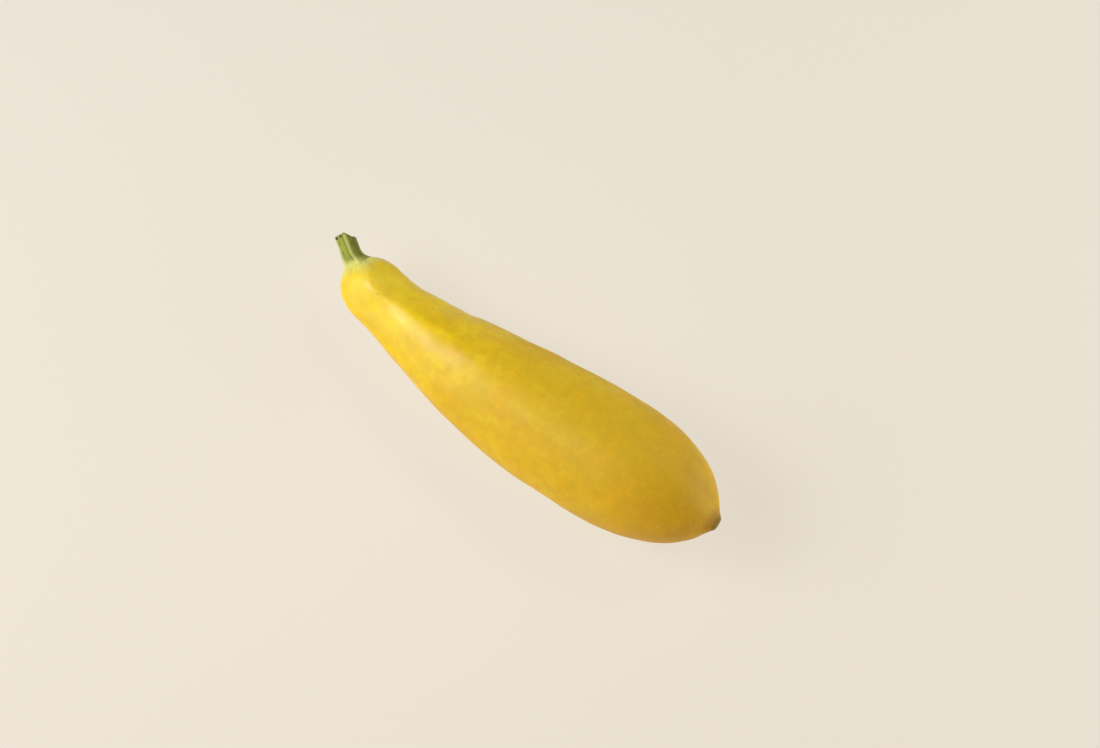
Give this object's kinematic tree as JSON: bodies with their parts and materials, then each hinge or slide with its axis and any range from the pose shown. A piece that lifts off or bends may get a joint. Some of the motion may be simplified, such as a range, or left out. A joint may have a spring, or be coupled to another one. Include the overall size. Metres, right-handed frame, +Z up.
{
  "type": "summer squash",
  "caption": "Yellow straightneck summer squash with its cut stem, lying on the side of its belly, with a gently crooked neck.",
  "frame": {"origin": "on the floor under the middle of the whole squash's box", "axes": "+X from the stem to the blossom end, +Z up from the flat that it rests on, +Y towards the side that the neck bends to"},
  "size_m": [0.1948, 0.0524, 0.0537],
  "materials": {
    "yellow_rind": "smooth waxy rind with a soft satin sheen",
    "green_stem": "matte ribbed plant fibre with a dry cut end"
  },
  "bodies": {
    "root": {"fruit": "yellow_rind", "stem": "green_stem"}
  },
  "joints": []
}
